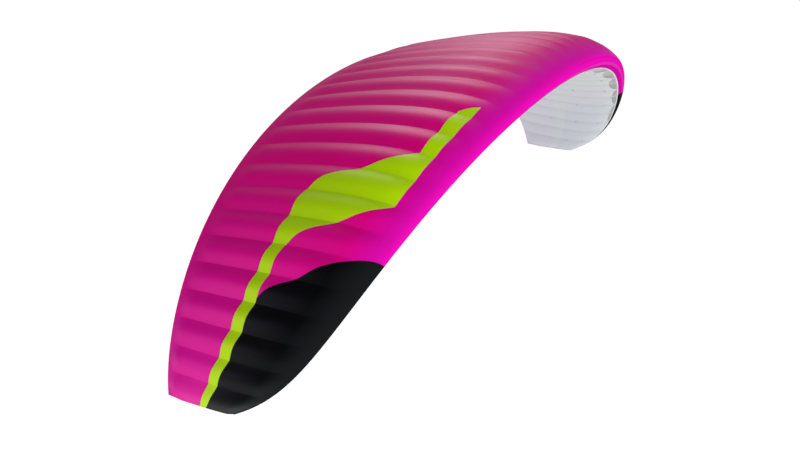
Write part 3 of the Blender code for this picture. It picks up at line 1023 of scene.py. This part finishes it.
def open_intakes(rib, row):
    """Draws the lattice round each intake: (new ribs, new rows, which points lie inside a hole)."""
    low, high = INTAKE_BLOCK
    new_rib, new_row = rib.copy(), under_nose(rib, row)
    hole = np.zeros(len(rib), bool)
    b = 2 * (row - low) / (high - low) - 1
    for first, last in intakes():
        a = 2 * (rib - first) / (last - first) - 1
        square = np.maximum(np.abs(a), np.abs(b))
        near = (square < 1 - TINY) & (square > TINY)
        edge_rib, edge_row = intake_edge((first, last), way_round(a, b))
        outer_rib = first + 0.5 * (last - first) * (1 + a / np.maximum(square, TINY))
        outer_row = low + 0.5 * (high - low) * (1 + b / np.maximum(square, TINY))
        outer_row = under_nose(outer_rib, outer_row)
        pull = np.clip((1 - square) / (1 - INTAKE_SHARE), 0.0, 1.0)
        new_rib = np.where(near, outer_rib + (edge_rib - outer_rib) * pull, new_rib)
        new_row = np.where(near, outer_row + (edge_row - outer_row) * pull, new_row)
        hole |= square < INTAKE_SHARE - TINY
    return new_rib, new_row, hole


def lower_sheet(stretch, material, inner):
    rows = lower_rows()
    obj, rib, row = grid_sheet(f"lower_cloth_{stretch}", cell_ribs(*STRETCHES[stretch]), rows)
    rib, row, hole = open_intakes(rib, row)
    move_points(obj, skin(rib, row))
    record_place(obj, rib, row)
    if hole.any():
        remove_points(obj, hole)
    finish_cloth(obj, material, inner)
    declare_cloth(obj, stretch, "lower")


def rim_frame(ends, way):
    """Points of an intake's edge, with the directions out of the hole and out of the cloth there."""
    middle = np.array([[0.5 * sum(ends)], [-math.sqrt(INTAKE_MIDDLE)]])

    def at(along, out=0.0):
        edge = np.array(intake_edge(ends, along % WAY_ROUND))
        return skin(*(edge + (edge - middle) * out))

    points = at(way)
    along = at(way + WAY_STEP) - at(way - WAY_STEP)
    outward = at(way, WAY_STEP) - points
    facing = np.cross(along, outward)
    facing /= np.linalg.norm(facing, axis=-1, keepdims=True)
    away = np.cross(facing, along)
    away /= np.linalg.norm(away, axis=-1, keepdims=True)
    return points, away, facing


def intake_hem(ends):
    """The rolled hem round one intake: a ring laid along its edge."""
    deselect()
    bpy.ops.mesh.primitive_torus_add(
        major_segments=HEM_STEPS, minor_segments=HEM_FOLDS, major_radius=1, minor_radius=HEM_RING
    )
    obj = bpy.context.object
    flat = mesh_points(obj)
    way = WAY_ROUND * (np.arctan2(flat[:, 1], flat[:, 0]) / (2 * math.pi) % 1.0)
    from_ring = (np.hypot(flat[:, 0], flat[:, 1]) - 1) / HEM_RING
    over_ring = flat[:, 2] / HEM_RING
    points, away, facing = rim_frame(ends, way)
    roll = from_ring[:, None] * away + HEM_FLATNESS * over_ring[:, None] * facing
    move_points(obj, points + 0.5 * HEM * roll)
    face_outwards(obj)
    bpy.ops.object.shade_smooth()
    return obj


def intake_hems(side, pairs, material):
    obj = join_into(f"intake_hems_{side}", [intake_hem(ends) for ends in pairs])
    set_material(obj, material)
    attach(obj, "canopy")


# Ribs, tapes and tip panels


def ring_through(points):
    """A closed ring of edges through these points."""
    deselect()
    bpy.ops.mesh.primitive_circle_add(vertices=len(points), radius=1)
    move_points(bpy.context.object, points)
    return bpy.context.object


def rib_outline(rib):
    rows = RIB_END * np.sin(np.linspace(-0.5 * math.pi, 0.5 * math.pi, RIB_POINTS))
    ribs = np.full(len(rows), float(rib))
    return place(ribs, *outline(ribs, rows, -RIB_INSET))


def port_outline(rib, at, half_length, half_height):
    """An oval hole, on the line half way between the upper and the lower cloth."""
    turn = np.linspace(0, 2 * math.pi, PORT_POINTS, endpoint=False)
    above, below = both_walls(float(rib), math.sqrt(at))
    middle = 0.5 * (above + below)
    tall = abs(above[1] - below[1])
    aft = middle[0] + half_length * chord_at(rib_u(rib)) * np.cos(turn)
    height = middle[1] + half_height * tall * np.sin(turn)
    return place(np.full(len(turn), float(rib)), aft, height)


def inside(limits, rib):
    """Whether a rib lies in or on these limits."""
    return limits[0] <= rib <= limits[1]


def rib_sheet(rib, material):
    """One inner rib: its outline and its cross-ports, filled between them."""
    rings = [ring_through(rib_outline(rib))] + [ring_through(port_outline(rib, *port)) for port in PORTS]
    obj = join_into(f"rib_{rib:02d}", rings)
    with whole_mesh(obj):
        bpy.ops.mesh.fill(use_beauty=True)
    face_outwards(obj)
    size = flat_extent(obj)
    finish_cloth(obj, material, material, RIB_CLOTH, 0.0)
    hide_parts(*[f"ribs_{name}" for name, limits in RIB_SETS.items() if inside(limits, rib)])
    stretch = next((name for name in ("right_brake", "left_brake") if inside(STRETCHES[name], rib)), None)
    carry(obj, stretch)


def span_tape(material):
    """The tape that runs from rib to rib inside and holds their spacing."""
    ribs = cell_ribs(RIB_FIRST, RIB_LAST, SPAN_TAPE_COLUMNS)
    obj, rib, side = grid_sheet("span_tape", ribs, [-0.5, 0.5])
    above, below = both_walls(rib, np.full(len(rib), math.sqrt(SPAN_TAPE_AT)))
    aft, height = below + (above - below) * SPAN_TAPE_LEVEL
    move_points(obj, place(rib, aft + side * SPAN_TAPE_WIDTH, height))
    finish_cloth(obj, material, material, SPAN_TAPE_CLOTH, 0.0)
    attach(obj, "canopy")


def tail_tape(stretch, material):
    """The binding folded over the trailing edge of one stretch of cloth."""
    first, last = STRETCHES[stretch]
    folds = [TAIL_TAPE_ROW, FOLD_TOP, FOLD_END, FOLD_BOTTOM, FOLD_UNDER]
    obj, rib, fold = grid_sheet(f"tail_tape_{stretch}", cell_ribs(first, last, TAIL_TAPE_COLUMNS), folds)
    below = np.where(fold >= FOLD_UNDER, -TAIL_TAPE_UNDER, -1.0)
    points = skin(rib, np.where(fold <= FOLD_TOP, fold, below), TAIL_TAPE)
    back = skin(rib, np.full(len(rib), 1.0), TAIL_TAPE)
    under = skin(rib, np.full(len(rib), -1.0), TAIL_TAPE)
    round_end = 0.5 * (back + under) + np.array([-0.5 * TRAILING_EDGE, 0, 0])
    move_points(obj, np.where((fold == FOLD_END)[:, None], round_end, points))
    finish_cloth(obj, material, material, TAIL_TAPE, -1.0, TAIL_TAPE_CREASE)
    carry(obj, stretch)


def tip_panel(side, rib, sign, material):
    """A wing tip's end panel: flat at its edge and slightly swollen in its middle."""
    rows = np.linspace(0.0, 1.0, TIP_ROWS)
    levels = np.linspace(0.0, 1.0, TIP_COLUMNS + 1)
    obj, row, level = grid_sheet(f"tip_cloth_{side}", rows, levels)
    ribs = np.full(len(row), float(rib))
    row = np.maximum(row, TIP_FIRST_ROW)
    above, below = both_walls(ribs, row, -TIP_INSET)
    aft, height = below + (above - below) * level
    swell = smooth(*TIP_SWELL_GROWS, row * row) * (1 - smooth(*TIP_SWELL_FADES, row * row))
    out = sign * (CLOTH + TIP_SWELL * 4 * level * (1 - level) * swell)
    across, _ = rib_axes(rib)
    move_points(obj, place(ribs, aft, height) + out[:, None] * across)
    record_place(obj, ribs, row)
    if sign < 0:
        turn_over(obj)
    length, width = flat_extent(obj)
    finish_cloth(obj, material, material, CLOTH, -1.0, TIP_CREASE)
    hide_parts(f"tip_panel_{side}")
    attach(obj, "canopy")


# Line loops


def webbing_loop():
    """One loop of webbing, hanging from the origin: a drop-shaped band with a round eye at its lower end."""
    deselect()
    bpy.ops.mesh.primitive_circle_add(vertices=LOOP_POINTS, radius=LOOP_EYE)
    obj = bpy.context.object
    with whole_mesh(obj):
        bpy.ops.mesh.extrude_edges_move(TRANSFORM_OT_translate={"value": (0, 0, LOOP_LENGTH)})
    flat = mesh_points(obj)
    up = flat[:, 1] / LOOP_EYE
    narrow = np.maximum(1 - up, 0.0) ** LOOP_NARROWS * LOOP_SHOULDER + LOOP_NECK
    across = flat[:, 0] * np.where(up > 0, narrow, 1.0)
    above_eye = up * (LOOP_DROP + LOOP_ROOT - LOOP_EYE)
    height = np.where(up > 0, above_eye, up * LOOP_EYE) - (LOOP_DROP - LOOP_EYE)
    along = flat[:, 2] - 0.5 * LOOP_LENGTH
    move_points(obj, np.stack([along, across, height], axis=-1))
    face_outwards(obj)
    thicken(obj, WEBBING, -1.0, LOOP_CREASE)
    return obj


def loop_copy(pattern, rib, chord_fraction):
    """A copy of the loop, hung under a rib's seam."""
    only(pattern)
    bpy.ops.object.duplicate()
    obj = bpy.context.object
    root = skin(float(rib), -math.sqrt(chord_fraction))
    across, up = rib_axes(rib)
    local = mesh_points(obj)
    along = local[:, :1] * np.array([1, 0, 0])
    move_points(obj, root + along + local[:, 1:2] * across + local[:, 2:] * up)
    return obj


def loop_row(name, ribs, chord_fraction, pattern, material, body):
    obj = join_into(name, [loop_copy(pattern, rib, chord_fraction) for rib in ribs])
    set_material(obj, material)
    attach(obj, body)


def line_loops(material):
    pattern = webbing_loop()
    both_halves = sorted(LOOP_RIBS + [CELLS - rib for rib in LOOP_RIBS])
    for name, at in LOOP_ROWS.items():
        loop_row(f"line_loops_{name}_row", both_halves, at, pattern, material, "canopy")
    for side, ribs in (("right", BRAKE_LOOP_RIBS), ("left", [CELLS - rib for rib in BRAKE_LOOP_RIBS])):
        name, body = f"brake_loops_{side}", f"{side}_brake"
        loop_row(name, ribs, BRAKE_LOOP_AT, pattern, material, body)
    only(pattern)
    bpy.ops.object.delete()


# Stage


def camera():
    az, el, roll = CAMERA_AZIMUTH, CAMERA_ELEVATION, CAMERA_ROLL
    ahead = Vector((-math.sin(az) * math.cos(el), math.cos(az) * math.cos(el), -math.sin(el)))
    level = Vector((math.cos(az), math.sin(az), 0.0))
    raised = level.cross(ahead)
    right = math.cos(roll) * level + math.sin(roll) * raised
    up = -math.sin(roll) * level + math.cos(roll) * raised
    deselect()
    bpy.ops.object.camera_add(location=CAMERA_PLACE)
    cam = bpy.context.object
    cam.name = "camera"
    cam.rotation_mode = "QUATERNION"
    cam.rotation_quaternion = Matrix((right, up, -ahead)).transposed().to_quaternion()
    cam.data.sensor_width = SENSOR
    cam.data.lens = FOCAL_PIXELS / PHOTO_WIDTH * SENSOR
    cam.data.clip_start = CAMERA_NEAR
    cam.data.clip_end = CAMERA_FAR
    bpy.context.scene.camera = cam


def soft_sun(name, azimuth, elevation, strength, color):
    """A broad light from an azimuth, 0 ahead of the wing and -90 on its right, and an elevation."""
    a, e = math.radians(azimuth), math.radians(elevation)
    toward = Vector((math.cos(a) * math.cos(e), math.sin(a) * math.cos(e), math.sin(e)))
    deselect()
    bpy.ops.object.light_add(type="SUN", location=toward * LIGHT_DISTANCE)
    light = bpy.context.object
    light.name = name
    light.rotation_mode = "QUATERNION"
    light.rotation_quaternion = toward.to_track_quat("Z", "Y")
    light.data.energy = strength
    light.data.angle = math.radians(LIGHT_WIDTH)
    light.data.color = color


def floor():
    deselect()
    bpy.ops.mesh.primitive_circle_add(
        vertices=FLOOR_POINTS, radius=FLOOR_RADIUS, fill_type="NGON", location=(0, 0, FLOOR_LEVEL)
    )
    obj = bpy.context.object
    obj.name = "floor"
    material, _, shader = new_material("pale_floor")
    shader.inputs["Base Color"].default_value = FLOOR_COLOR
    shader.inputs["Emission Color"].default_value = PURE_WHITE
    shader.inputs["Emission Strength"].default_value = FLOOR_GLOW
    shader.inputs["Roughness"].default_value = 1.0
    shader.inputs["Specular IOR Level"].default_value = 0.0
    set_material(obj, material)


def sky():
    world = bpy.data.worlds.new("studio")
    world.use_nodes = True
    background = world.node_tree.nodes["Background"]
    background.inputs["Color"].default_value = PURE_WHITE
    background.inputs["Strength"].default_value = SKY_GLOW
    bpy.context.scene.world = world
    bpy.context.scene.view_settings.view_transform = "Standard"


upper_material = upper_cloth()
lower_material = lower_cloth()
inner_material = plain_cloth("inner_cloth_white", INNER_WHITE, INNER_ROUGHNESS, INNER_PAINTED_GLOW)
rib_material = plain_cloth("rib_cloth_white", RIB_WHITE, RIB_ROUGHNESS, RIB_PAINTED_GLOW)
webbing_material = plain_cloth("webbing_white", WEBBING_WHITE, WEBBING_ROUGHNESS)
tape_material = plain_cloth("tail_tape_magenta", MAGENTA, TAPE_ROUGHNESS)
for stretch in STRETCHES:
    upper_sheet(stretch, upper_material, inner_material)
    lower_sheet(stretch, lower_material, inner_material)
    tail_tape(stretch, tape_material)
for rib in range(RIB_FIRST, RIB_LAST + 1):
    rib_sheet(rib, rib_material)
span_tape(rib_material)
tip_panel("right", 0, -1, upper_material)
tip_panel("left", CELLS, 1, upper_material)
middle = len(intakes()) // 2
intake_hems("right", intakes()[:middle], inner_material)
intake_hems("middle", intakes()[middle:middle + 1], inner_material)
intake_hems("left", intakes()[middle + 1:], inner_material)
line_loops(webbing_material)
camera()
floor()
sky()
for name, settings in LIGHTS.items():
    soft_sun(name, *settings)
